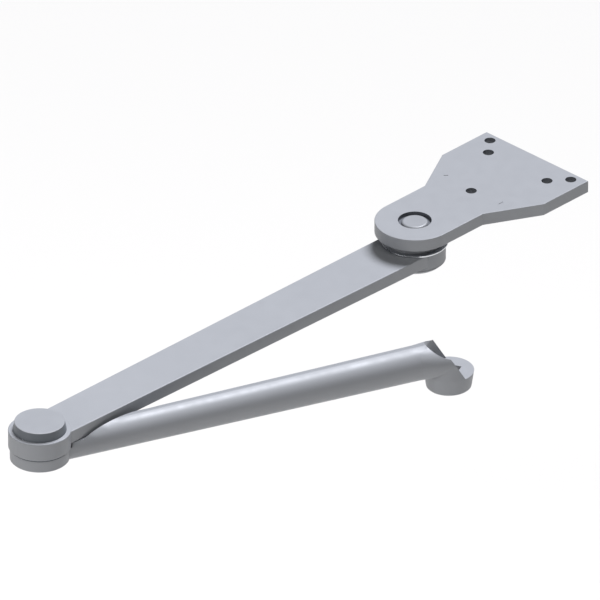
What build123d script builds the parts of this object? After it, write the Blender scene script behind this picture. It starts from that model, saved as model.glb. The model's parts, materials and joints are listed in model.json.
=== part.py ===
from build123d import *
import os
from math import asin, degrees, radians, tan

os.makedirs("parts", exist_ok=True)

# Parallel-arm set of a surface door closer, in millimetres, +Z up. The origin lies on the shoe
# plate's soffit face, midway between the two rear screw holes. +X runs along the plate, away
# from the arms. Heights are negative, because everything hangs under the door frame's soffit.

# Rest pose, seen from above, in degrees from +X
forearm_heading = 179.0
main_arm_heading = -21.4
# How much further the arms can fold from the rest pose, in degrees
fold_limit = 2.0

# Arm lengths, pivot to pivot
forearm_length = 319.0
main_arm_length = 270.8

# Shoe plate
plate_thickness = 8.0
pivot_to_rear_screws = 101.8
pivot_to_tail = 108.0
nose_radius = 24.6
neck_length = 34.3
flare_length = 34.5
tail_half_width = 43.0
rear_screw_half_spacing = 34.2
inner_screw_half_spacing = 24.8
inner_screw_setback = 11.2
pivot_to_front_screw = 49.6
screw_hole_radius = 3.4
countersink_radius = 6.6
countersink_angle = 90
plate_edge_radius = 0.4
pin_counterbore_width = 2.1
pin_counterbore_depth = 2.4
mark_half_spacing = 23.0
mark_size = 2.2
mark_depth = 0.3

# Pivot pins and their bearings, the same at both joints
pin_radius = 8.2
pin_recess = 0.7
pin_edge_radius = 1.4
pin_end_chamfer = 0.4
running_clearance = 0.05
face_clearance = 0.1
bushing_wall = 2.0
bushing_flange_width = 2.4
bushing_flange_thickness = 1.2
bushing_grease_gap = 0.6
bearing_washer_width = 4.4
bearing_washer_thickness = 0.8
disc_spring_width = 4.2
disc_spring_thickness = 0.7
disc_spring_rise = 0.5
retaining_ring_width = 2.6
retaining_ring_thickness = 1.0
retaining_ring_gap = 5.0
retaining_ring_eye_radius = 0.8
groove_depth = 1.0
pin_beyond_ring = 0.5

# Seal rings of round section, let into the arm heads
seal_section_radius = 0.85
seal_groove_clearance = 0.1

# Stack between the shoe plate and the forearm
spacer_height = 5.85
spacer_radius = 17.5
thrust_washer_radius = 20.6
thrust_washer_thickness = 1.1
thrust_washer_edge_radius = 0.25

# Forearm
bar_thickness = 8.3
bar_half_width_at_shoe = 17.9
bar_half_width_at_elbow = 14.7
bar_edge_radius = 0.6
head_radius = 19.05
head_below_bar = 2.55
elbow_head_rise = 0.6
head_rim_radius = 0.5
shoe_recess_width = 5.8
shoe_recess_depth = 2.6

# Dust cap under the shoe head
dust_cap_height = 2.3
dust_cap_bevel = 2.1
dust_cap_wall = 0.8
dust_cap_spigot_depth = 1.2
dust_cap_spigot_wall = 0.8

# Elbow cap on top of the elbow head
elbow_cap_height = 5.7
elbow_cap_base_radius = 16.3
elbow_cap_top_radius = 15.2
elbow_cap_roof = 1.5
elbow_cap_edge_radius = 0.35
elbow_cap_room = 0.9

# Elbow joint below the forearm
elbow_washer_inset = 1.15
elbow_washer_thickness = 0.8
elbow_hub_inset = 0.95
elbow_hub_height = 7.7
elbow_hub_edge = 0.6
head_side_clearance = 0.6

# Main arm: a round bar that tapers towards the elbow and swells into a bulb at the pinion
arm_radius_at_elbow = 9.45
arm_radius_at_pinion = 11.05
arm_axis_below_bar = 5.65
arm_start = 8.0
relief_clearance = 0.4
relief_side_clearance = 0.6
bulb_radius = 15.6
shoulder_start = 23.0
shoulder_end = 3.5
shoulder_half_width = 15.0
shoulder_half_height = 10.6
shoulder_inset = 0.05
socket_floor_below_axis = 9.9
socket_floor_thickness = 10.7
socket_wall_radius = 15.4
socket_end_radius = 13.9
socket_edge_radius = 0.5
screw_pocket_radius = 13.8
screw_pocket_mouth_radius = 15.6
screw_pocket_straight_above_axis = 5.0
mouth_angle = 59.0
mouth_setback = 4.3
pinion_square = 12.0
socket_turn = 45.0

# Heights
plate_bottom = -plate_thickness
washer_top = plate_bottom - spacer_height
washer_bottom = washer_top - thrust_washer_thickness
bar_top = washer_bottom - face_clearance
bar_bottom = bar_top - bar_thickness
head_bottom = bar_bottom - head_below_bar
elbow_head_top = bar_top + elbow_head_rise
shoe_recess_floor = head_bottom + shoe_recess_depth
elbow_washer_top = head_bottom - face_clearance
elbow_hub_top = elbow_washer_top - elbow_washer_thickness
elbow_hub_bottom = elbow_hub_top - elbow_hub_height
arm_axis = bar_bottom - arm_axis_below_bar
relief_top = bar_bottom - relief_clearance
socket_floor = arm_axis - socket_floor_below_axis
socket_bottom = socket_floor - socket_floor_thickness
arm_top = arm_axis + arm_radius_at_pinion

# Bearing stack outside each arm head: washer, disc spring, retaining ring, end of the pin
disc_spring_height = disc_spring_thickness + disc_spring_rise
ring_from_head = face_clearance + bearing_washer_thickness + disc_spring_height + face_clearance
pin_end_from_head = ring_from_head + retaining_ring_thickness + pin_beyond_ring
bushing_radius = pin_radius + bushing_wall
bushing_flange_radius = bushing_radius + bushing_flange_width
groove_radius = pin_radius - groove_depth
bearing_bore_radius = pin_radius + running_clearance
bearing_washer_outer = pin_radius + bearing_washer_width
disc_spring_outer = pin_radius + disc_spring_width
retaining_ring_outer = pin_radius + retaining_ring_width
seal_ring_radius = (bushing_flange_radius + head_radius) / 2
shoe_recess_radius = pin_radius + shoe_recess_width
elbow_washer_radius = head_radius - elbow_washer_inset
elbow_hub_radius = head_radius - elbow_hub_inset

# Axes and planes of the three bodies
pivot_x = -pivot_to_rear_screws
forearm_direction = Vector(1, 0, 0).rotate(Axis.Z, forearm_heading)
arm_direction = Vector(1, 0, 0).rotate(Axis.Z, main_arm_heading)
folded_direction = -forearm_direction.rotate(Axis.Z, -fold_limit)
elbow_centre = Vector(pivot_x, 0, 0) + forearm_direction * forearm_length
pinion_centre = elbow_centre + arm_direction * main_arm_length
shoe_plane = Plane(origin=(pivot_x, 0, 0))
forearm_plane = Plane(origin=shoe_plane.origin, x_dir=forearm_direction, z_dir=(0, 0, 1))
far_end_plane = Plane(origin=elbow_centre, x_dir=forearm_direction, z_dir=(0, 0, 1))
folded_plane = Plane(origin=elbow_centre, x_dir=folded_direction, z_dir=(0, 0, 1))
elbow_plane = Plane(origin=elbow_centre, x_dir=arm_direction, z_dir=(0, 0, 1))
pinion_plane = Plane(origin=pinion_centre, x_dir=arm_direction, z_dir=(0, 0, 1))


def upright(plane):
    """Vertical plane through a joint's axis: its x runs along the arm and its y is height."""
    return Plane(origin=plane.origin, x_dir=plane.x_dir, z_dir=-plane.y_dir)


def centre_line(plane):
    """Vertical axis of a joint."""
    return Axis(plane.origin, (0, 0, 1))


def disc(plane, radius, top, bottom, mode=Mode.ADD):
    """Add or cut a round disc between two heights."""
    with Locations(plane.offset(bottom)):
        Cylinder(radius, top - bottom, align=(Align.CENTER, Align.CENTER, Align.MIN), mode=mode)


def ring(plane, outer, inner, top, bottom, mode=Mode.ADD):
    """Add or cut a flat ring between two heights."""
    with BuildSketch(plane.offset(bottom)) as annulus:
        Circle(outer)
        Circle(inner, mode=Mode.SUBTRACT)
    extrude(annulus.sketch, amount=top - bottom, mode=mode)


def arm_section(from_elbow):
    """Plane across the main arm at a distance from the elbow; its x is level."""
    centre = elbow_centre + arm_direction * from_elbow + Vector(0, 0, arm_axis)
    return Plane(origin=centre, x_dir=elbow_plane.y_dir, z_dir=arm_direction)


def seal_ring(plane, height):
    """Add a seal ring of round section, at the height of its middle."""
    with Locations(plane.offset(height)):
        Torus(seal_ring_radius, seal_section_radius)


def bushing(plane, flange_face, sleeve_end):
    """Add a flanged plain bearing from its flange's outer face to its sleeve's end."""
    inward = 1 if sleeve_end > flange_face else -1
    flange_back = flange_face + inward * bushing_flange_thickness
    top, bottom = max(flange_face, sleeve_end), min(flange_face, sleeve_end)
    disc(plane, bushing_flange_radius, max(flange_face, flange_back), min(flange_face, flange_back))
    disc(plane, bushing_radius, top, bottom)
    disc(plane, bearing_bore_radius, top, bottom, Mode.SUBTRACT)


def disc_spring(plane, wide_end, narrow_end):
    """Add a conical spring washer between the heights of its wide and narrow ends."""
    step = disc_spring_thickness if narrow_end > wide_end else -disc_spring_thickness
    with BuildSketch(upright(plane)) as section:
        with BuildLine():
            Polyline(
                (bearing_bore_radius, narrow_end - step),
                (disc_spring_outer, wide_end),
                (disc_spring_outer, wide_end + step),
                (bearing_bore_radius, narrow_end),
                close=True,
            )
        make_face()
    revolve(section.sketch, axis=centre_line(plane))


def retaining_ring(plane, top, bottom):
    """Add an open ring that snaps into a pin's groove, with an eye at each end for pliers."""
    middle = (groove_radius + retaining_ring_outer) / 2
    ring(plane, retaining_ring_outer, groove_radius, top, bottom)
    with Locations(plane.offset(bottom) * Pos(middle, 0, 0)):
        Box(
            retaining_ring_outer,
            retaining_ring_gap,
            top - bottom,
            align=(Align.CENTER, Align.CENTER, Align.MIN),
            mode=Mode.SUBTRACT,
        )
    eye_turn = 2 * degrees(asin(retaining_ring_gap / 2 / middle))
    for turn in (eye_turn, -eye_turn):
        with Locations(plane.offset(bottom) * Rot(0, 0, turn) * Pos(middle, 0, 0)):
            Cylinder(
                retaining_ring_eye_radius,
                top - bottom,
                align=(Align.CENTER, Align.CENTER, Align.MIN),
                mode=Mode.SUBTRACT,
            )


# ---------------------------------------------------------------- shoe: the fixed body

# Flat plate with a round nose, a narrow neck and a wide tail
with BuildPart() as shoe_plate:
    neck_x = pivot_x + neck_length
    flare_x = neck_x + flare_length
    tail_x = pivot_x + pivot_to_tail
    with BuildSketch(Plane.XY.offset(plate_bottom)):
        with BuildLine():
            ThreePointArc((pivot_x, nose_radius), (pivot_x - nose_radius, 0), (pivot_x, -nose_radius))
            Polyline(
                (pivot_x, -nose_radius),
                (neck_x, -nose_radius),
                (flare_x, -tail_half_width),
                (tail_x, -tail_half_width),
                (tail_x, tail_half_width),
                (flare_x, tail_half_width),
                (neck_x, nose_radius),
                (pivot_x, nose_radius),
            )
        make_face()
    extrude(amount=plate_thickness)
    rim = shoe_plate.faces().filter_by(Axis.Z).edges()
    fillet(rim, radius=plate_edge_radius)
    # Screw holes, countersunk from below, because the screws go up into the frame
    screw_places = (
        (0, rear_screw_half_spacing),
        (0, -rear_screw_half_spacing),
        (-inner_screw_setback, inner_screw_half_spacing),
        (-inner_screw_setback, -inner_screw_half_spacing),
        (pivot_x + pivot_to_front_screw, 0),
    )
    with Locations(*[Plane((x, y, plate_bottom), z_dir=(0, 0, -1)) for x, y in screw_places]):
        CounterSinkHole(
            screw_hole_radius,
            countersink_radius,
            plate_thickness,
            counter_sink_angle=countersink_angle,
        )
    # Hole for the pivot pin, with a shallow counterbore round the pin's end
    disc(shoe_plane, pin_radius, 0, plate_bottom, Mode.SUBTRACT)
    disc(shoe_plane, pin_radius + pin_counterbore_width, 0, -pin_counterbore_depth, Mode.SUBTRACT)
    # Two small plain triangles stamped in the soffit face, pointing at the plate's edges
    for side in (1, -1):
        with BuildSketch(Plane.XY):
            with BuildLine():
                mark_y = side * mark_half_spacing
                mark_x = pivot_x + neck_length + flare_length / 2
                Polyline(
                    (mark_x - mark_size, mark_y),
                    (mark_x + mark_size, mark_y),
                    (mark_x, mark_y + side * mark_size),
                    close=True,
                )
            make_face()
        extrude(amount=-mark_depth, mode=Mode.SUBTRACT)
shoe_plate.part.label = "shoe_plate"
export_step(shoe_plate.part, "parts/shoe_plate.step")

# Pin pressed into the plate; the arm turns on its lower part
shoe_pin_bottom = shoe_recess_floor - pin_end_from_head
shoe_ring_top = shoe_recess_floor - ring_from_head
with BuildPart() as shoe_pivot_pin:
    disc(shoe_plane, pin_radius, -pin_recess, shoe_pin_bottom)
    fillet(shoe_pivot_pin.edges().sort_by(Axis.Z)[-1], radius=pin_edge_radius)
    chamfer(shoe_pivot_pin.edges().sort_by(Axis.Z)[0], length=pin_end_chamfer)
    ring(
        shoe_plane,
        pin_radius,
        groove_radius,
        shoe_ring_top,
        shoe_ring_top - retaining_ring_thickness,
        Mode.SUBTRACT,
    )
shoe_pivot_pin.part.label = "shoe_pivot_pin"
export_step(shoe_pivot_pin.part, "parts/shoe_pivot_pin.step")

# Collar that holds the arm clear of the plate
with BuildPart() as shoe_spacer_collar:
    ring(shoe_plane, spacer_radius, pin_radius, plate_bottom, washer_top)
shoe_spacer_collar.part.label = "shoe_spacer_collar"
export_step(shoe_spacer_collar.part, "parts/shoe_spacer_collar.step")

# Wide polished washer that the arm's head slides on
with BuildPart() as shoe_thrust_washer:
    ring(shoe_plane, thrust_washer_radius, pin_radius, washer_top, washer_bottom)
    outer_rim = shoe_thrust_washer.edges().filter_by(GeomType.CIRCLE).group_by(SortBy.RADIUS)[-1]
    fillet(outer_rim, radius=thrust_washer_edge_radius)
shoe_thrust_washer.part.label = "shoe_thrust_washer"
export_step(shoe_thrust_washer.part, "parts/shoe_thrust_washer.step")

with BuildPart() as shoe_lower_washer:
    lower_washer_top = shoe_recess_floor - face_clearance
    ring(
        shoe_plane,
        bearing_washer_outer,
        pin_radius,
        lower_washer_top,
        lower_washer_top - bearing_washer_thickness,
    )
shoe_lower_washer.part.label = "shoe_lower_washer"
export_step(shoe_lower_washer.part, "parts/shoe_lower_washer.step")

with BuildPart() as shoe_disc_spring:
    spring_top = lower_washer_top - bearing_washer_thickness
    disc_spring(shoe_plane, spring_top, spring_top - disc_spring_height)
shoe_disc_spring.part.label = "shoe_disc_spring"
export_step(shoe_disc_spring.part, "parts/shoe_disc_spring.step")

with BuildPart() as shoe_retaining_ring:
    retaining_ring(shoe_plane, shoe_ring_top, shoe_ring_top - retaining_ring_thickness)
shoe_retaining_ring.part.label = "shoe_retaining_ring"
export_step(shoe_retaining_ring.part, "parts/shoe_retaining_ring.step")

# ---------------------------------------------------------------- forearm: flat bar, two heads

shoe_head_middle = (bar_top + shoe_recess_floor) / 2
elbow_head_middle = (elbow_head_top + head_bottom) / 2
seal_groove_half_width = seal_section_radius + seal_groove_clearance
shoe_seal_middle = bar_top - seal_groove_half_width
elbow_seal_middle = head_bottom + seal_groove_half_width

# Flat bar that widens towards the shoe, with a round bearing head at each end
with BuildPart() as forearm:
    with BuildSketch(forearm_plane.offset(bar_bottom)):
        with BuildLine():
            Polyline(
                (0, -bar_half_width_at_shoe),
                (forearm_length, -bar_half_width_at_elbow),
                (forearm_length, bar_half_width_at_elbow),
                (0, bar_half_width_at_shoe),
                close=True,
            )
        make_face()
    extrude(amount=bar_thickness)
    long_edges = forearm.faces().filter_by(Axis.Z).edges().filter_by(
        lambda edge: edge.length > forearm_length - head_radius
    )
    fillet(long_edges, radius=bar_edge_radius)
    disc(forearm_plane, head_radius, bar_top, head_bottom)
    disc(far_end_plane, head_radius, elbow_head_top, head_bottom)
    head_rims = forearm.edges().filter_by(GeomType.CIRCLE).filter_by(
        lambda edge: abs(edge.radius - head_radius) < head_rim_radius and edge.is_closed
    )
    fillet(head_rims, radius=head_rim_radius)
    for plane, top, bottom in (
        (forearm_plane, bar_top, shoe_recess_floor),
        (far_end_plane, elbow_head_top, head_bottom),
    ):
        disc(plane, bushing_radius, top, bottom, Mode.SUBTRACT)
        disc(plane, bushing_flange_radius, top, top - bushing_flange_thickness, Mode.SUBTRACT)
        disc(plane, bushing_flange_radius, bottom + bushing_flange_thickness, bottom, Mode.SUBTRACT)
    disc(forearm_plane, shoe_recess_radius, shoe_recess_floor, head_bottom, Mode.SUBTRACT)
    for plane, middle in ((forearm_plane, shoe_seal_middle), (far_end_plane, elbow_seal_middle)):
        ring(
            plane,
            seal_ring_radius + seal_groove_half_width,
            seal_ring_radius - seal_groove_half_width,
            middle + seal_groove_half_width,
            middle - seal_groove_half_width,
            Mode.SUBTRACT,
        )
forearm.part.label = "forearm"
export_step(forearm.part, "parts/forearm.step")

with BuildPart() as shoe_bushing_upper:
    bushing(forearm_plane, bar_top, shoe_head_middle + bushing_grease_gap / 2)
shoe_bushing_upper.part.label = "shoe_bushing_upper"
export_step(shoe_bushing_upper.part, "parts/shoe_bushing_upper.step")

with BuildPart() as shoe_bushing_lower:
    bushing(forearm_plane, shoe_recess_floor, shoe_head_middle - bushing_grease_gap / 2)
shoe_bushing_lower.part.label = "shoe_bushing_lower"
export_step(shoe_bushing_lower.part, "parts/shoe_bushing_lower.step")

with BuildPart() as elbow_bushing_upper:
    bushing(far_end_plane, elbow_head_top, elbow_head_middle + bushing_grease_gap / 2)
elbow_bushing_upper.part.label = "elbow_bushing_upper"
export_step(elbow_bushing_upper.part, "parts/elbow_bushing_upper.step")

with BuildPart() as elbow_bushing_lower:
    bushing(far_end_plane, head_bottom, elbow_head_middle - bushing_grease_gap / 2)
elbow_bushing_lower.part.label = "elbow_bushing_lower"
export_step(elbow_bushing_lower.part, "parts/elbow_bushing_lower.step")

with BuildPart() as shoe_seal_ring:
    seal_ring(forearm_plane, shoe_seal_middle)
shoe_seal_ring.part.label = "shoe_seal_ring"
export_step(shoe_seal_ring.part, "parts/shoe_seal_ring.step")

with BuildPart() as elbow_seal_ring:
    seal_ring(far_end_plane, elbow_seal_middle)
elbow_seal_ring.part.label = "elbow_seal_ring"
export_step(elbow_seal_ring.part, "parts/elbow_seal_ring.step")

# Bevelled cap whose spigot presses into the recess under the shoe head
with BuildPart() as shoe_dust_cap:
    dust_cap_bottom = head_bottom - dust_cap_height
    disc(forearm_plane, head_radius, head_bottom, dust_cap_bottom)
    chamfer(
        shoe_dust_cap.faces().sort_by(Axis.Z)[0].edges(),
        length=dust_cap_bevel,
    )
    disc(forearm_plane, shoe_recess_radius, head_bottom + dust_cap_spigot_depth, head_bottom)
    disc(
        forearm_plane,
        shoe_recess_radius - dust_cap_spigot_wall,
        head_bottom + dust_cap_spigot_depth,
        dust_cap_bottom + dust_cap_wall,
        Mode.SUBTRACT,
    )
shoe_dust_cap.part.label = "shoe_dust_cap"
export_step(shoe_dust_cap.part, "parts/shoe_dust_cap.step")

# Raised cap over the elbow pin's end, slightly wider at its foot
with BuildPart() as elbow_cap:
    elbow_cap_top = elbow_head_top + elbow_cap_height
    with BuildSketch(far_end_plane.offset(elbow_head_top)):
        Circle(elbow_cap_base_radius)
    with BuildSketch(far_end_plane.offset(elbow_cap_top)):
        Circle(elbow_cap_top_radius)
    loft()
    fillet(elbow_cap.faces().sort_by(Axis.Z)[-1].edges(), radius=elbow_cap_edge_radius)
    disc(
        far_end_plane,
        bearing_washer_outer + elbow_cap_room,
        elbow_cap_top - elbow_cap_roof,
        elbow_head_top,
        Mode.SUBTRACT,
    )
elbow_cap.part.label = "elbow_cap"
export_step(elbow_cap.part, "parts/elbow_cap.step")

# ---------------------------------------------------------------- main arm

# Round bar with a hub under the elbow and a bulb with the socket for the closer's pinion
with BuildPart() as main_arm:
    taper = (arm_radius_at_pinion - arm_radius_at_elbow) / main_arm_length
    with BuildSketch(upright(elbow_plane)):
        with BuildLine():
            Polyline(
                (arm_start, arm_axis),
                (main_arm_length, arm_axis),
                (main_arm_length, arm_axis + arm_radius_at_pinion),
                (arm_start, arm_axis + arm_radius_at_elbow + taper * arm_start),
                close=True,
            )
        make_face()
    revolve(axis=Axis(elbow_plane.offset(arm_axis).origin, arm_direction))
    # Relief under the forearm, so that the arms can fold until their edges nearly touch
    with BuildSketch(folded_plane.offset(relief_top)):
        with BuildLine():
            Polyline(
                (0, -bar_half_width_at_elbow - relief_side_clearance),
                (forearm_length, -bar_half_width_at_shoe - relief_side_clearance),
                (forearm_length, forearm_length),
                (0, forearm_length),
                close=True,
            )
        make_face()
    extrude(amount=arm_top - relief_top, mode=Mode.SUBTRACT)
    # Room for the forearm's head, and a flat underside to the elbow hub
    disc(elbow_plane, head_radius + head_side_clearance, plate_bottom, elbow_hub_top, Mode.SUBTRACT)
    disc(elbow_plane, elbow_hub_radius, elbow_hub_bottom, socket_bottom, Mode.SUBTRACT)
    with BuildSketch(upright(elbow_plane)):
        with BuildLine():
            Polyline(
                (0, elbow_hub_top),
                (elbow_hub_radius, elbow_hub_top),
                (elbow_hub_radius, elbow_hub_bottom + elbow_hub_edge),
                (elbow_hub_radius - elbow_hub_edge, elbow_hub_bottom),
                (0, elbow_hub_bottom),
                close=True,
            )
        make_face()
    revolve(axis=centre_line(elbow_plane))
    disc(elbow_plane, pin_radius, elbow_hub_top, elbow_hub_bottom, Mode.SUBTRACT)
    # Shoulder that carries the bar's sides out to the bulb
    shoulder_start_radius = arm_radius_at_pinion - taper * shoulder_start - shoulder_inset
    with BuildSketch(arm_section(main_arm_length - shoulder_start)):
        Circle(shoulder_start_radius)
    with BuildSketch(arm_section(main_arm_length - shoulder_end)):
        Ellipse(shoulder_half_width, shoulder_half_height)
    loft()
    # Bulb at the pinion end: half an ellipse above the arm's axis, a drafted wall below it
    with BuildSketch(upright(pinion_plane)):
        with BuildLine():
            bulb_centre = (0, arm_axis)
            EllipticalCenterArc(bulb_centre, bulb_radius, arm_radius_at_pinion, 0, arc_size=90)
            Polyline(
                (0, arm_top),
                (0, socket_bottom),
                (socket_end_radius - socket_edge_radius, socket_bottom),
                (socket_end_radius, socket_bottom + socket_edge_radius),
                (socket_wall_radius, socket_floor),
                (bulb_radius, arm_axis),
            )
        make_face()
    revolve(axis=centre_line(pinion_plane))
    # Slanted mouth, cut down to the socket floor on the side away from the elbow
    with BuildSketch(upright(pinion_plane)):
        with BuildLine():
            mouth_top = mouth_setback - (arm_top - socket_floor) / tan(radians(mouth_angle))
            Polyline(
                (mouth_setback, socket_floor),
                (bulb_radius, socket_floor),
                (bulb_radius, arm_top),
                (mouth_top, arm_top),
                close=True,
            )
        make_face()
    extrude(amount=bulb_radius, both=True, mode=Mode.SUBTRACT)
    # Pocket for the arm screw's head, widening at its rim, and the square socket below it
    pocket_shoulder = arm_axis + screw_pocket_straight_above_axis
    with BuildSketch(upright(pinion_plane)):
        with BuildLine():
            Polyline(
                (0, socket_floor),
                (screw_pocket_radius, socket_floor),
                (screw_pocket_radius, pocket_shoulder),
                (screw_pocket_mouth_radius, arm_top),
                (0, arm_top),
                close=True,
            )
        make_face()
    revolve(axis=centre_line(pinion_plane), mode=Mode.SUBTRACT)
    with BuildSketch(pinion_plane.offset(socket_bottom)):
        Rectangle(pinion_square, pinion_square, rotation=socket_turn)
    extrude(amount=socket_floor_thickness, mode=Mode.SUBTRACT)
main_arm.part.label = "main_arm"
export_step(main_arm.part, "parts/main_arm.step")

# Pin pressed into the hub; the forearm's head turns on its upper part
elbow_pin_top = elbow_head_top + pin_end_from_head
elbow_ring_bottom = elbow_head_top + ring_from_head
with BuildPart() as elbow_pin:
    disc(elbow_plane, pin_radius, elbow_pin_top, elbow_hub_bottom)
    chamfer(elbow_pin.edges().sort_by(Axis.Z)[-1], length=pin_end_chamfer)
    ring(
        elbow_plane,
        pin_radius,
        groove_radius,
        elbow_ring_bottom + retaining_ring_thickness,
        elbow_ring_bottom,
        Mode.SUBTRACT,
    )
elbow_pin.part.label = "elbow_pin"
export_step(elbow_pin.part, "parts/elbow_pin.step")

with BuildPart() as elbow_thrust_washer:
    ring(elbow_plane, elbow_washer_radius, pin_radius, elbow_washer_top, elbow_hub_top)
elbow_thrust_washer.part.label = "elbow_thrust_washer"
export_step(elbow_thrust_washer.part, "parts/elbow_thrust_washer.step")

with BuildPart() as elbow_upper_washer:
    upper_washer_bottom = elbow_head_top + face_clearance
    ring(
        elbow_plane,
        bearing_washer_outer,
        pin_radius,
        upper_washer_bottom + bearing_washer_thickness,
        upper_washer_bottom,
    )
elbow_upper_washer.part.label = "elbow_upper_washer"
export_step(elbow_upper_washer.part, "parts/elbow_upper_washer.step")

with BuildPart() as elbow_disc_spring:
    spring_bottom = upper_washer_bottom + bearing_washer_thickness
    disc_spring(elbow_plane, spring_bottom, spring_bottom + disc_spring_height)
elbow_disc_spring.part.label = "elbow_disc_spring"
export_step(elbow_disc_spring.part, "parts/elbow_disc_spring.step")

with BuildPart() as elbow_retaining_ring:
    retaining_ring(elbow_plane, elbow_ring_bottom + retaining_ring_thickness, elbow_ring_bottom)
elbow_retaining_ring.part.label = "elbow_retaining_ring"
export_step(elbow_retaining_ring.part, "parts/elbow_retaining_ring.step")
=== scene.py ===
import json
import math

import bpy
from bpy.props import FloatProperty, FloatVectorProperty, PointerProperty, StringProperty
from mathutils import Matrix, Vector


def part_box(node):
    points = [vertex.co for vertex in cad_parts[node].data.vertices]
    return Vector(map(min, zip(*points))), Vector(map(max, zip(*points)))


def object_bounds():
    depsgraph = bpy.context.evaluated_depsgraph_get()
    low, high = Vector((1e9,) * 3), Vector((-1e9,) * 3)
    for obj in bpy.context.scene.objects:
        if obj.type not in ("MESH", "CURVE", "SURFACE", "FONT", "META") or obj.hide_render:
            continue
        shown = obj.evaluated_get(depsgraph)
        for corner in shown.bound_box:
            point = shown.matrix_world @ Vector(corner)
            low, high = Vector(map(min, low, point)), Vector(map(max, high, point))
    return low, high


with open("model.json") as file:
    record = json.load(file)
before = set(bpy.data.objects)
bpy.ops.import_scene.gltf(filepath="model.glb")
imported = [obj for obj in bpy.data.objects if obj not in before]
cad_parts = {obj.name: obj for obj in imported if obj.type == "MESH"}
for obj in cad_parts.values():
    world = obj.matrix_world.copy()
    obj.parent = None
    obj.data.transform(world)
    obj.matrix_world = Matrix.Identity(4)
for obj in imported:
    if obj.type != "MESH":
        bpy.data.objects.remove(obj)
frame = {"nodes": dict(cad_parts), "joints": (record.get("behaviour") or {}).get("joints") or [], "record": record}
cad_low, cad_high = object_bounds()

bl_info = {
    "name": "Door closer arm",
    "version": (1, 0, 0),
    "blender": (4, 5, 0),
    "location": "3D View > Sidebar > Closer arm",
    "description": "Finishes for the parallel arm of a door closer, and the stage it is shown on",
    "category": "Object",
}

MM = 0.001
# The wave texture repeats every tau / 20 of its own unit
WAVE_PERIOD = math.tau / 20
JOINTS = {joint["name"]: Vector(joint["pos_m"]) for joint in frame["joints"]}
SHOE_AXIS = JOINTS["shoe_pivot"]
ELBOW_AXIS = JOINTS["elbow"]


def linear(code):
    """An sRGB hex value as linear red, green and blue."""
    channels = [int(code[i:i + 2], 16) / 255 for i in (1, 3, 5)]
    return [c / 12.92 if c <= 0.04045 else ((c + 0.055) / 1.055) ** 2.4 for c in channels]


def colour(code):
    """The same with full alpha, as a node socket takes it."""
    return (*linear(code), 1.0)


def add_node(tree, kind, links=(), **settings):
    """Add a node. Settings name its inputs or properties; links give (input, source socket)."""
    node = tree.nodes.new(kind)
    for key, value in settings.items():
        if hasattr(node, key):
            setattr(node, key, value)
        else:
            node.inputs[key.replace("_", " ")].default_value = value
    for socket, source in links:
        tree.links.new(source, node.inputs[socket])
    return node


def new_material(name):
    """A material with its shader, and the object's own coordinates in metres."""
    material = bpy.data.materials.new(name)
    material.use_nodes = True
    tree = material.node_tree
    tree.nodes.clear()
    shader = add_node(tree, "ShaderNodeBsdfPrincipled")
    output = add_node(tree, "ShaderNodeOutputMaterial")
    tree.links.new(shader.outputs["BSDF"], output.inputs["Surface"])
    place = add_node(tree, "ShaderNodeTexCoord").outputs["Object"]
    return material, tree, shader, place


def vary(tree, place, size, low, high, detail=2.0):
    """A soft random pattern of the given grain size in metres, between two values.

    The noise keeps mostly to its middle, so that part of it is spread over the two values.
    """
    noise = add_node(
        tree, "ShaderNodeTexNoise", [("Vector", place)], Scale=1 / size, Detail=detail
    )
    spread = add_node(tree, "ShaderNodeMapRange", [("Value", noise.outputs["Fac"])])
    spread.inputs["From Min"].default_value = 0.3
    spread.inputs["From Max"].default_value = 0.7
    spread.inputs["To Min"].default_value = low
    spread.inputs["To Max"].default_value = high
    return spread.outputs["Result"]


def blend_colours(tree, share, first, second):
    """Mix two colours, each a hex value or a socket, by a share from 0 to 1."""
    mix = add_node(tree, "ShaderNodeMix", [("Factor", share)], data_type="RGBA")
    for socket, value in ((6, first), (7, second)):
        if isinstance(value, str):
            mix.inputs[socket].default_value = colour(value)
        else:
            tree.links.new(value, mix.inputs[socket])
    return mix.outputs[2]


def bump(tree, shader, height, distance, strength=1.0):
    """Raise the shader's surface by a height pattern, the given distance in metres at most."""
    raised = add_node(
        tree, "ShaderNodeBump", [("Height", height)], Distance=distance, Strength=strength
    )
    tree.links.new(raised.outputs["Normal"], shader.inputs["Normal"])


def tool_marks(tree, place, pitch, centre=None):
    """Marks a cutting tool leaves at a pitch in metres.

    With a centre they are rings round its vertical axis, as on a faced end; without one
    they are stacked along Z, as on a turned wall.
    """
    if centre is not None:
        moved = add_node(tree, "ShaderNodeVectorMath", [(0, place)], operation="SUBTRACT")
        moved.inputs[1].default_value = centre
        place = moved.outputs["Vector"]
    marks = add_node(
        tree,
        "ShaderNodeTexWave",
        [("Vector", place)],
        wave_type="BANDS" if centre is None else "RINGS",
        bands_direction="Z",
        rings_direction="Z",
        Scale=WAVE_PERIOD / pitch,
        Distortion=0.4,
        Detail=1.0,
    )
    return marks.outputs["Fac"]


def arm_lacquer(tree, place, finish):
    """Colour of the lacquer: flakes, and the broad clouds that the spray gun leaves."""
    # Real flakes are about 0.03 mm across; they are drawn twenty times that, so that they show
    flakes = vary(tree, place, 0.6 * MM, 0.35, 0.65, detail=3.0)
    pigment = blend_colours(tree, flakes, finish.lacquer_dark, finish.lacquer_light)
    clouds = vary(tree, place, 45 * MM, 0.35, 0.65)
    cloudy = blend_colours(tree, clouds, finish.lacquer_dark, finish.lacquer_light)
    both = add_node(tree, "ShaderNodeMix", data_type="RGBA")
    both.inputs["Factor"].default_value = 0.5
    tree.links.new(pigment, both.inputs[6])
    tree.links.new(cloudy, both.inputs[7])
    return both.outputs[2]


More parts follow.
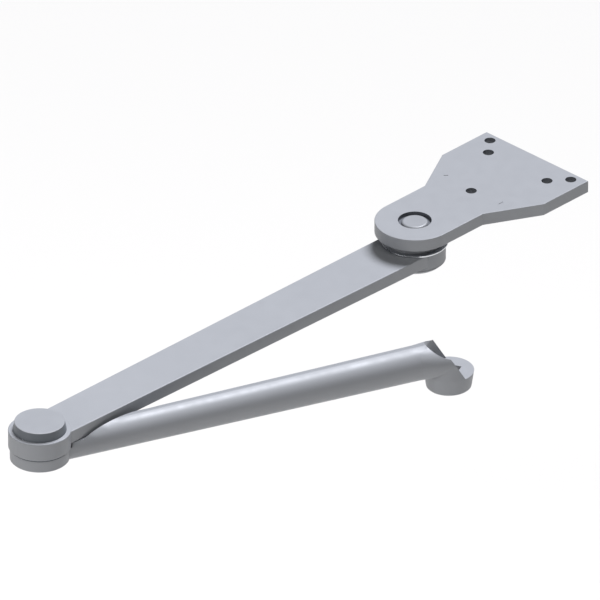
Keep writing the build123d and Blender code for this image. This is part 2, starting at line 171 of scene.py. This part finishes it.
def calculate(tree, operation, first, second):
    """One step of arithmetic on two values, each a number or a socket."""
    step = add_node(tree, "ShaderNodeMath", operation=operation)
    for socket, value in enumerate((first, second)):
        if isinstance(value, (int, float)):
            step.inputs[socket].default_value = value
        else:
            tree.links.new(value, step.inputs[socket])
    return step.outputs["Value"]


def inside_holes(tree, place, holes):
    """1 within the upright holes, up to their edge, and 0 outside. A hole is (centre, radius)."""
    edge_width = 0.05 * MM
    level = add_node(tree, "ShaderNodeVectorMath", [(0, place)], operation="MULTIPLY")
    level.inputs[1].default_value = (1, 1, 0)
    nearest = 1.0
    for (x, y), radius in holes:
        away = add_node(
            tree, "ShaderNodeVectorMath", [(0, level.outputs["Vector"])], operation="DISTANCE"
        )
        away.inputs[1].default_value = (x, y, 0)
        edge = calculate(tree, "SUBTRACT", away.outputs["Value"], radius)
        nearest = calculate(tree, "MINIMUM", nearest, edge)
    return calculate(tree, "LESS_THAN", nearest, edge_width)


def lacquer_material(finish, name, holes=()):
    """Aluminium lacquer, sprayed on steel and stoved.

    The pigment's flakes lie flat in a clear binder, so the film is pale grey with a soft,
    wide gloss. The spray leaves a faint ripple about a millimetre and a half across. Within
    the given holes the colour is painted shade, a dark steel grey with a fine mottle.
    """
    material, tree, shader, place = new_material(name)
    tone = arm_lacquer(tree, place, finish)
    if holes:
        # Painted shade: the holes and the pin's counterbore are coloured dark, where shade falls down in them
        drilled = vary(tree, place, 0.8 * MM, 0, 1)
        hole_shade = blend_colours(tree, drilled, finish.hole_shade_dark, finish.hole_shade_light)
        tone = blend_colours(tree, inside_holes(tree, place, holes), tone, hole_shade)
    tree.links.new(tone, shader.inputs["Base Color"])
    spread = 0.04
    least, most = finish.lacquer_roughness - spread, finish.lacquer_roughness + spread
    rough = vary(tree, place, 8 * MM, least, most)
    tree.links.new(rough, shader.inputs["Roughness"])
    shader.inputs["Metallic"].default_value = finish.lacquer_metallic
    bump(tree, shader, vary(tree, place, 1.5 * MM, 0, 1), 0.004 * MM)
    return material


def sprayed_end_material(finish, name, sprayed_above, dark, light):
    """Turned steel whose upper end is sprayed with the arm, above a height in metres.

    The end takes the arm's pale lacquer; the wall below it keeps fine tool marks in the
    dark and light tones given, and is glossier. On the elbow cap these tones are painted
    shade, darker than the lacquer, in place of a dark reflection on the wall.
    """
    material, tree, shader, place = new_material(name)
    height = add_node(tree, "ShaderNodeSeparateXYZ", [("Vector", place)]).outputs["Z"]
    sprayed = add_node(tree, "ShaderNodeMapRange", [("Value", height)])
    sprayed.inputs["From Min"].default_value = sprayed_above
    sprayed.inputs["From Max"].default_value = sprayed_above + 0.1 * MM
    sprayed = sprayed.outputs["Result"]
    marks = tool_marks(tree, place, 0.4 * MM)
    steel = blend_colours(tree, marks, dark, light)
    lacquer = arm_lacquer(tree, place, finish)
    tree.links.new(blend_colours(tree, sprayed, steel, lacquer), shader.inputs["Base Color"])
    shader.inputs["Metallic"].default_value = finish.lacquer_metallic
    tree.links.new(vary(tree, place, 8 * MM, 0.36, 0.42), shader.inputs["Roughness"])
    bare = calculate(tree, "SUBTRACT", 1.0, sprayed)
    bump(tree, shader, calculate(tree, "MULTIPLY", marks, bare), 0.002 * MM)
    return material


def ground_steel_material(finish, name, centre, light, dark, roughness):
    """Bright steel, turned and then ground.

    The lathe leaves rings a few tenths of a millimetre apart, and the grinding wheel takes
    their tops off, so the face has a fine ringed sheen.
    """
    material, tree, shader, place = new_material(name)
    # Rings are drawn 0.7 mm apart, about three times the real feed, so that they show
    marks = tool_marks(tree, place, 0.7 * MM, centre)
    tree.links.new(blend_colours(tree, marks, dark, light), shader.inputs["Base Color"])
    spread = 0.05
    rough = vary(tree, place, 2 * MM, roughness - spread, roughness + spread)
    tree.links.new(rough, shader.inputs["Roughness"])
    shader.inputs["Metallic"].default_value = 1.0
    shader.inputs["Anisotropic"].default_value = finish.grinding_anisotropy
    bump(tree, shader, marks, 0.003 * MM)
    return material


def spring_steel_material(finish):
    """Spring steel, stamped, hardened and blackened in oil.

    The scale is blue-black and blotchy, with a thin oily gloss.
    """
    material, tree, shader, place = new_material("spring_steel_oil_blackened")
    blotches = vary(tree, place, 2.5 * MM, 0, 1, detail=4.0)
    tone = blend_colours(tree, blotches, finish.black_dark, finish.black_light)
    tree.links.new(tone, shader.inputs["Base Color"])
    tree.links.new(vary(tree, place, 1.2 * MM, 0.3, 0.48), shader.inputs["Roughness"])
    shader.inputs["Metallic"].default_value = 0.9
    bump(tree, shader, blotches, 0.004 * MM)
    return material


def bronze_material(finish):
    """Sintered bronze, pressed from powder and soaked in oil.

    The pressed grains leave fine open pores, so the brown metal looks matt and speckled.
    """
    material, tree, shader, place = new_material("sintered_bronze_oiled")
    # Pores are drawn 0.4 mm apart, about four times the real spacing, so that they show
    cells = add_node(
        tree, "ShaderNodeTexVoronoi", [("Vector", place)], Scale=1 / (0.4 * MM)
    ).outputs["Distance"]
    pores = add_node(tree, "ShaderNodeMapRange", [("Value", cells)]).outputs["Result"]
    tone = blend_colours(tree, pores, finish.bronze_dark, finish.bronze_light)
    tree.links.new(tone, shader.inputs["Base Color"])
    tree.links.new(vary(tree, place, 1.0 * MM, 0.42, 0.58), shader.inputs["Roughness"])
    shader.inputs["Metallic"].default_value = 1.0
    bump(tree, shader, cells, 0.01 * MM)
    return material


def rubber_material(finish):
    """Nitrile rubber, moulded.

    Black, with the mould's fine etched grain and a dull sheen.
    """
    material, tree, shader, place = new_material("nitrile_rubber_moulded")
    grain = vary(tree, place, 0.5 * MM, 0, 1, detail=4.0)
    tone = blend_colours(tree, grain, finish.rubber_dark, finish.rubber_light)
    tree.links.new(tone, shader.inputs["Base Color"])
    tree.links.new(vary(tree, place, 1.5 * MM, 0.55, 0.7), shader.inputs["Roughness"])
    shader.inputs["IOR"].default_value = 1.52
    bump(tree, shader, grain, 0.01 * MM)
    return material


def plate_holes(finish):
    """Centre and radius of each screw hole in the shoe plate, and of the pin's counterbore."""
    low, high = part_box("shoe_pivot_pin")
    counterbore = (high.x - low.x) / 2 + finish.counterbore_width
    holes = [((SHOE_AXIS.x, SHOE_AXIS.y), counterbore)]
    for mount in frame["record"]["mounts"]:
        x, y = mount["pos_m"][:2]
        if mount["kind"] == "bore":
            holes.append(((x, y), mount["dims"]["r_mm"] * MM))
        elif mount["kind"] == "bolt_pattern":
            half = mount["dims"]["spacing_y_mm"] * MM / 2
            radius = mount["dims"]["hole_r_mm"] * MM
            holes += [((x, y + half), radius), ((x, y - half), radius)]
    return holes


def finish_nodes(material, *names):
    """Give a material to carried-over CAD nodes."""
    for name in names:
        mesh = frame["nodes"][name].data
        mesh.materials.clear()
        mesh.materials.append(material)


def hex_setting(name, description, default):
    """A colour setting, as an sRGB hex value."""
    return StringProperty(name=name, description=description, default=default, maxlen=7)


class ArmFinish(bpy.types.PropertyGroup):
    """Colours and surface values of the arm's finishes."""

    lacquer_light: hex_setting("Lacquer light", "Lightest lacquer flakes", "#909296")
    lacquer_dark: hex_setting("Lacquer dark", "Darkest lacquer flakes", "#86888C")
    lacquer_roughness: FloatProperty(
        name="Lacquer roughness",
        description="How matt the lacquer is",
        default=0.48,
        min=0,
        max=1,
        subtype="FACTOR",
    )
    lacquer_metallic: FloatProperty(
        name="Lacquer metallic",
        description="Share of flat metal flakes in the film",
        default=0.05,
        min=0,
        max=1,
        subtype="FACTOR",
    )
    # Painted shade: the two dark tones coloured inside the plate's holes and the pin's counterbore
    hole_shade_light: hex_setting("Drilled steel light", "Oiled steel in the holes", "#5A5D63")
    hole_shade_dark: hex_setting("Drilled steel dark", "Oil lying in the holes", "#484B52")
    counterbore_width: FloatProperty(
        name="Counterbore width",
        description="Width of the plate's counterbore outside the pin",
        default=0.0021,
        unit="LENGTH",
    )
    # Painted shade: darker steel tones for the cap's wall, in place of a dark reflection there, and for the
    # elbow's washers, so the joint line shows no bright glint
    shade_steel_light: hex_setting("Oiled steel light", "Cap's wall and elbow's washers", "#64696F")
    shade_steel_dark: hex_setting("Oiled steel dark", "The same in the tool marks", "#52575D")
    spray_depth: FloatProperty(
        name="Spray depth",
        description="How far the spray reaches down the cap from its top",
        default=0.0004,
        unit="LENGTH",
    )
    steel_light: hex_setting("Steel light", "Ground steel", "#C4C6CA")
    steel_dark: hex_setting("Steel dark", "Ground steel between its marks", "#AEB1B6")
    polished_light: hex_setting("Washer light", "Shoe's polished washers", "#D2D4D8")
    polished_dark: hex_setting("Washer dark", "Polished steel between its marks", "#BFC2C6")
    grinding_anisotropy: FloatProperty(
        name="Grinding sheen",
        description="How far the gloss is drawn out across the grinding marks",
        default=0.4,
        min=0,
        max=1,
        subtype="FACTOR",
    )
    black_light: hex_setting("Blackening light", "Oil-blackened spring steel", "#4A4D52")
    black_dark: hex_setting("Blackening dark", "Darkest blackening", "#2C2E33")
    bronze_light: hex_setting("Bronze light", "Sintered bronze grains", "#C09A5E")
    bronze_dark: hex_setting("Bronze dark", "Oil in the bronze's pores", "#7A5C34")
    rubber_light: hex_setting("Rubber light", "Worn high spots of the rubber", "#2E2E2F")
    rubber_dark: hex_setting("Rubber dark", "Black nitrile rubber", "#151516")


class ArmStage(bpy.types.PropertyGroup):
    """The floor, the lights and the camera."""

    floor_drop: FloatProperty(
        name="Floor drop",
        description="Height of the arm's lowest point above the floor",
        default=0.30,
        unit="LENGTH",
    )
    floor_half_width: FloatProperty(
        name="Floor half width",
        description="From the floor's middle to its edge",
        default=12,
        unit="LENGTH",
    )
    floor_dark: hex_setting("Floor dark", "Plain pale floor, a little warm", "#CFCDC8")
    floor_light: hex_setting("Floor light", "Where the floor's paint lies thicker", "#D1CFCA")
    key_tint: hex_setting("Key tint", "A little cooler than white", "#F6F8FF")
    key_strength: FloatProperty(
        name="Key light", description="Irradiance of the key light, behind at the right", default=5.4
    )
    key_turn: FloatProperty(
        name="Key turn",
        description="Key light's direction, from straight behind towards the right",
        default=math.radians(30),
        subtype="ANGLE",
    )
    key_height: FloatProperty(
        name="Key height",
        description="Key light's height above the horizon",
        default=math.radians(60),
        subtype="ANGLE",
    )
    key_softness: FloatProperty(
        name="Key softness",
        description="Angle that the key light fills",
        default=math.radians(28),
        subtype="ANGLE",
    )
    front_power: FloatProperty(
        name="Front light",
        description="Power of the high strip above the camera",
        default=9,
        unit="POWER",
    )
    front_place: FloatVectorProperty(
        name="Front light's place",
        description="Right, towards the camera and up from the arm's middle",
        default=(0, 0.75, 1.3),
        unit="LENGTH",
    )
    front_size: FloatVectorProperty(
        name="Front light's size",
        description="Width and height of the high strip",
        default=(1.6, 0.4),
        size=2,
        unit="LENGTH",
    )
    side_power: FloatProperty(
        name="Side light", description="Power of the strip at the left", default=2.5, unit="POWER"
    )
    side_place: FloatVectorProperty(
        name="Side light's place",
        description="Right, towards the camera and up from the arm's middle",
        default=(-0.9, 0.6, 0.3),
        unit="LENGTH",
    )
    side_size: FloatVectorProperty(
        name="Side light's size",
        description="Width and height of the strip at the left",
        default=(0.12, 0.5),
        size=2,
        unit="LENGTH",
    )
    sky_colour: FloatVectorProperty(
        name="Sky",
        description="Light from all round, as linear red, green and blue",
        default=(0.93, 0.96, 1.0),
        min=0,
        max=1,
        subtype="COLOR",
    )
    sky_strength: FloatProperty(
        name="Sky strength", description="Strength of the light from all round", default=0.03
    )
    azimuth: FloatProperty(
        name="Azimuth",
        description="Camera's direction; 0 looks along +Y",
        default=math.radians(-45.79),
        subtype="ANGLE",
    )
    elevation: FloatProperty(
        name="Elevation",
        description="Camera's height above the horizon",
        default=math.radians(30.43),
        subtype="ANGLE",
    )
    lens: FloatProperty(
        name="Lens", description="Long lens, in millimetres", default=1400, subtype="DISTANCE_CAMERA"
    )
    picture_width: FloatProperty(
        name="Picture width",
        description="Width of the view at the shoe pivot",
        default=0.3654,
        unit="LENGTH",
    )
    pivot_right: FloatProperty(
        name="Pivot right",
        description="Distance of the shoe pivot right of the picture's middle",
        default=0.0699,
        unit="LENGTH",
    )
    pivot_up: FloatProperty(
        name="Pivot up",
        description="Distance of the shoe pivot above the picture's middle",
        default=0.0487,
        unit="LENGTH",
    )


class CLOSER_OT_lacquered_parts(bpy.types.Operator):
    """Lacquer the shoe plate, its collar, both arms and the dust cap"""

    bl_idname = "closer.lacquered_parts"
    bl_label = "Lacquered parts"

    def execute(self, context):
        finish = context.scene.arm_finish
        lacquer = lacquer_material(finish, "aluminium_lacquer")
        finish_nodes(lacquer, "shoe_spacer_collar", "forearm", "main_arm", "shoe_dust_cap")
        # The shoe plate's lacquer has painted shade in its holes and counterbore
        drilled = lacquer_material(finish, "aluminium_lacquer_shaded_holes", plate_holes(finish))
        finish_nodes(drilled, "shoe_plate")
        return {"FINISHED"}


class CLOSER_OT_elbow_cap(bpy.types.Operator):
    """Finish the raised cap on the elbow"""

    bl_idname = "closer.elbow_cap"
    bl_label = "Elbow cap"

    def execute(self, context):
        finish = context.scene.arm_finish
        sprayed_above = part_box("elbow_cap")[1].z - finish.spray_depth
        # The wall below the sprayed top is coloured with painted shade, in place of a dark reflection
        material = sprayed_end_material(
            finish, "turned_steel_sprayed_top", sprayed_above, finish.shade_steel_dark, finish.shade_steel_light
        )
        finish_nodes(material, "elbow_cap")
        return {"FINISHED"}


class CLOSER_OT_pins(bpy.types.Operator):
    """Finish the two pivot pins in ground steel"""

    bl_idname = "closer.pins"
    bl_label = "Pivot pins"

    def execute(self, context):
        finish = context.scene.arm_finish
        washer_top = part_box("shoe_thrust_washer")[1].z
        sprayed = sprayed_end_material(
            finish, "ground_steel_sprayed_end", washer_top, finish.steel_dark, finish.steel_light
        )
        finish_nodes(sprayed, "shoe_pivot_pin")
        ground = ground_steel_material(
            finish, "ground_steel", ELBOW_AXIS, finish.steel_light, finish.steel_dark, 0.3
        )
        finish_nodes(ground, "elbow_pin")
        return {"FINISHED"}


class CLOSER_OT_washers(bpy.types.Operator):
    """Finish the shoe's washers in polished steel, and the elbow's in dark steel as painted shade"""

    bl_idname = "closer.washers"
    bl_label = "Washers"

    def execute(self, context):
        finish = context.scene.arm_finish
        polished = ground_steel_material(
            finish,
            "polished_steel_washers",
            SHOE_AXIS,
            finish.polished_light,
            finish.polished_dark,
            0.2,
        )
        finish_nodes(polished, "shoe_thrust_washer", "shoe_lower_washer")
        # Painted shade: the elbow's washers are darkened so the joint line shows no bright glint
        shaded_washers = ground_steel_material(
            finish, "painted_shade_steel_washers", ELBOW_AXIS, finish.shade_steel_light, finish.shade_steel_dark, 0.35
        )
        finish_nodes(shaded_washers, "elbow_thrust_washer", "elbow_upper_washer")
        return {"FINISHED"}


class CLOSER_OT_springs(bpy.types.Operator):
    """Blacken the disc springs and the retaining rings"""

    bl_idname = "closer.springs"
    bl_label = "Springs and rings"

    def execute(self, context):
        finish_nodes(
            spring_steel_material(context.scene.arm_finish),
            "shoe_disc_spring",
            "shoe_retaining_ring",
            "elbow_disc_spring",
            "elbow_retaining_ring",
        )
        return {"FINISHED"}


class CLOSER_OT_bearings(bpy.types.Operator):
    """Finish the flanged plain bearings in sintered bronze"""

    bl_idname = "closer.bearings"
    bl_label = "Bearings"

    def execute(self, context):
        finish_nodes(
            bronze_material(context.scene.arm_finish),
            "shoe_bushing_upper",
            "shoe_bushing_lower",
            "elbow_bushing_upper",
            "elbow_bushing_lower",
        )
        return {"FINISHED"}


class CLOSER_OT_seals(bpy.types.Operator):
    """Finish the seal rings in black rubber"""

    bl_idname = "closer.seals"
    bl_label = "Seal rings"

    def execute(self, context):
        finish_nodes(
            rubber_material(context.scene.arm_finish), "shoe_seal_ring", "elbow_seal_ring"
        )
        return {"FINISHED"}


def area_light(name, place, aim, size, power):
    """A soft white rectangular light at a place, turned to shine at a point."""
    lamp = bpy.data.lights.new(name, "AREA")
    lamp.shape = "RECTANGLE"
    lamp.size, lamp.size_y = size
    lamp.energy = power
    holder = bpy.data.objects.new(name, lamp)
    holder.location = place
    holder.rotation_euler = (Vector(aim) - Vector(place)).to_track_quat("-Z", "Y").to_euler()
    bpy.context.scene.collection.objects.link(holder)


class CLOSER_OT_stage(bpy.types.Operator):
    """Lay the floor, hang the lights and set up the camera"""

    bl_idname = "closer.stage"
    bl_label = "Stage"

    def execute(self, context):
        stage = context.scene.arm_stage
        context.scene.view_settings.view_transform = "Standard"
        self.lay_floor(stage)
        self.light(context, stage)
        self.place_camera(context, stage)
        return {"FINISHED"}

    def lay_floor(self, stage):
        """Plain floor, far larger than the view."""
        half = stage.floor_half_width
        height = cad_low.z - stage.floor_drop
        mesh = bpy.data.meshes.new("floor")
        corners = [(x * half, y * half, height) for x, y in ((-1, -1), (1, -1), (1, 1), (-1, 1))]
        mesh.from_pydata(corners, [], [(0, 1, 2, 3)])
        material, tree, shader, place = new_material("floor_paint_matt")
        drift = vary(tree, place, 0.4, 0.45, 0.55)
        tone = blend_colours(tree, drift, stage.floor_dark, stage.floor_light)
        tree.links.new(tone, shader.inputs["Base Color"])
        shader.inputs["Roughness"].default_value = 0.9
        mesh.materials.append(material)
        floor = bpy.data.objects.new("floor", mesh)
        bpy.context.scene.collection.objects.link(floor)

    def light(self, context, stage):
        """A soft key behind at the right, a high strip in front and a strip at the left."""
        world = bpy.data.worlds.new("studio")
        world.use_nodes = True
        background = world.node_tree.nodes["Background"]
        background.inputs["Color"].default_value = (*stage.sky_colour, 1.0)
        background.inputs["Strength"].default_value = stage.sky_strength
        context.scene.world = world
        right = Vector((math.cos(stage.azimuth), math.sin(stage.azimuth), 0.0))
        front = Vector((math.sin(stage.azimuth), -math.cos(stage.azimuth), 0.0))
        sun = bpy.data.lights.new("key", "SUN")
        sun.energy = stage.key_strength
        sun.angle = stage.key_softness
        sun.color = linear(stage.key_tint)
        key = bpy.data.objects.new("key", sun)
        level = right * math.sin(stage.key_turn) - front * math.cos(stage.key_turn)
        toward = level * math.cos(stage.key_height) + Vector((0, 0, math.sin(stage.key_height)))
        key.rotation_euler = toward.to_track_quat("Z", "Y").to_euler()
        context.scene.collection.objects.link(key)
        middle = (cad_low + cad_high) / 2
        axes = (right, front, Vector((0, 0, 1)))
        above = middle + sum((a * d for a, d in zip(axes, stage.front_place)), Vector())
        area_light("front_strip", above, middle, stage.front_size, stage.front_power)
        beside = middle + sum((a * d for a, d in zip(axes, stage.side_place)), Vector())
        area_light("left_strip", beside, ELBOW_AXIS, stage.side_size, stage.side_power)

    def place_camera(self, context, stage):
        """Long lens far back, so that parallel edges stay parallel."""
        turn, rise = stage.azimuth, stage.elevation
        back = Vector(
            (math.sin(turn) * math.cos(rise), -math.cos(turn) * math.cos(rise), math.sin(rise))
        )
        right = Vector((math.cos(turn), math.sin(turn), 0.0))
        up = back.cross(right)
        pivot = Vector((SHOE_AXIS.x, SHOE_AXIS.y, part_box("shoe_plate")[1].z))
        aim = pivot - right * stage.pivot_right - up * stage.pivot_up
        camera = bpy.data.cameras.new("camera")
        camera.lens = stage.lens
        distance = stage.picture_width * camera.lens / camera.sensor_width
        camera.clip_end = 3 * distance
        holder = bpy.data.objects.new("camera", camera)
        holder.location = aim + back * distance
        holder.rotation_euler = (-back).to_track_quat("-Z", "Y").to_euler()
        context.scene.collection.objects.link(holder)
        context.scene.camera = holder


class CLOSER_PT_panel(bpy.types.Panel):
    """Lists the arm's finishes and the stage"""

    bl_idname = "CLOSER_PT_panel"
    bl_label = "Door closer arm"
    bl_space_type = "VIEW_3D"
    bl_region_type = "UI"
    bl_category = "Closer arm"

    def draw(self, context):
        for operator in OPERATORS:
            self.layout.operator(operator.bl_idname)
        for settings in (context.scene.arm_finish, context.scene.arm_stage):
            box = self.layout.box()
            for key in settings.bl_rna.properties.keys():
                if key not in ("rna_type", "name"):
                    box.prop(settings, key)


OPERATORS = (
    CLOSER_OT_stage,
    CLOSER_OT_lacquered_parts,
    CLOSER_OT_elbow_cap,
    CLOSER_OT_pins,
    CLOSER_OT_washers,
    CLOSER_OT_springs,
    CLOSER_OT_bearings,
    CLOSER_OT_seals,
)
CLASSES = (ArmFinish, ArmStage, *OPERATORS, CLOSER_PT_panel)


def register():
    for cls in CLASSES:
        bpy.utils.register_class(cls)
    bpy.types.Scene.arm_finish = PointerProperty(type=ArmFinish)
    bpy.types.Scene.arm_stage = PointerProperty(type=ArmStage)


def unregister():
    del bpy.types.Scene.arm_stage
    del bpy.types.Scene.arm_finish
    for cls in reversed(CLASSES):
        bpy.utils.unregister_class(cls)


def main():
    register()
    bpy.ops.closer.stage()
    bpy.ops.closer.lacquered_parts()
    bpy.ops.closer.elbow_cap()
    bpy.ops.closer.pins()
    bpy.ops.closer.washers()
    bpy.ops.closer.springs()
    bpy.ops.closer.bearings()
    bpy.ops.closer.seals()


if __name__ == "__main__":
    main()
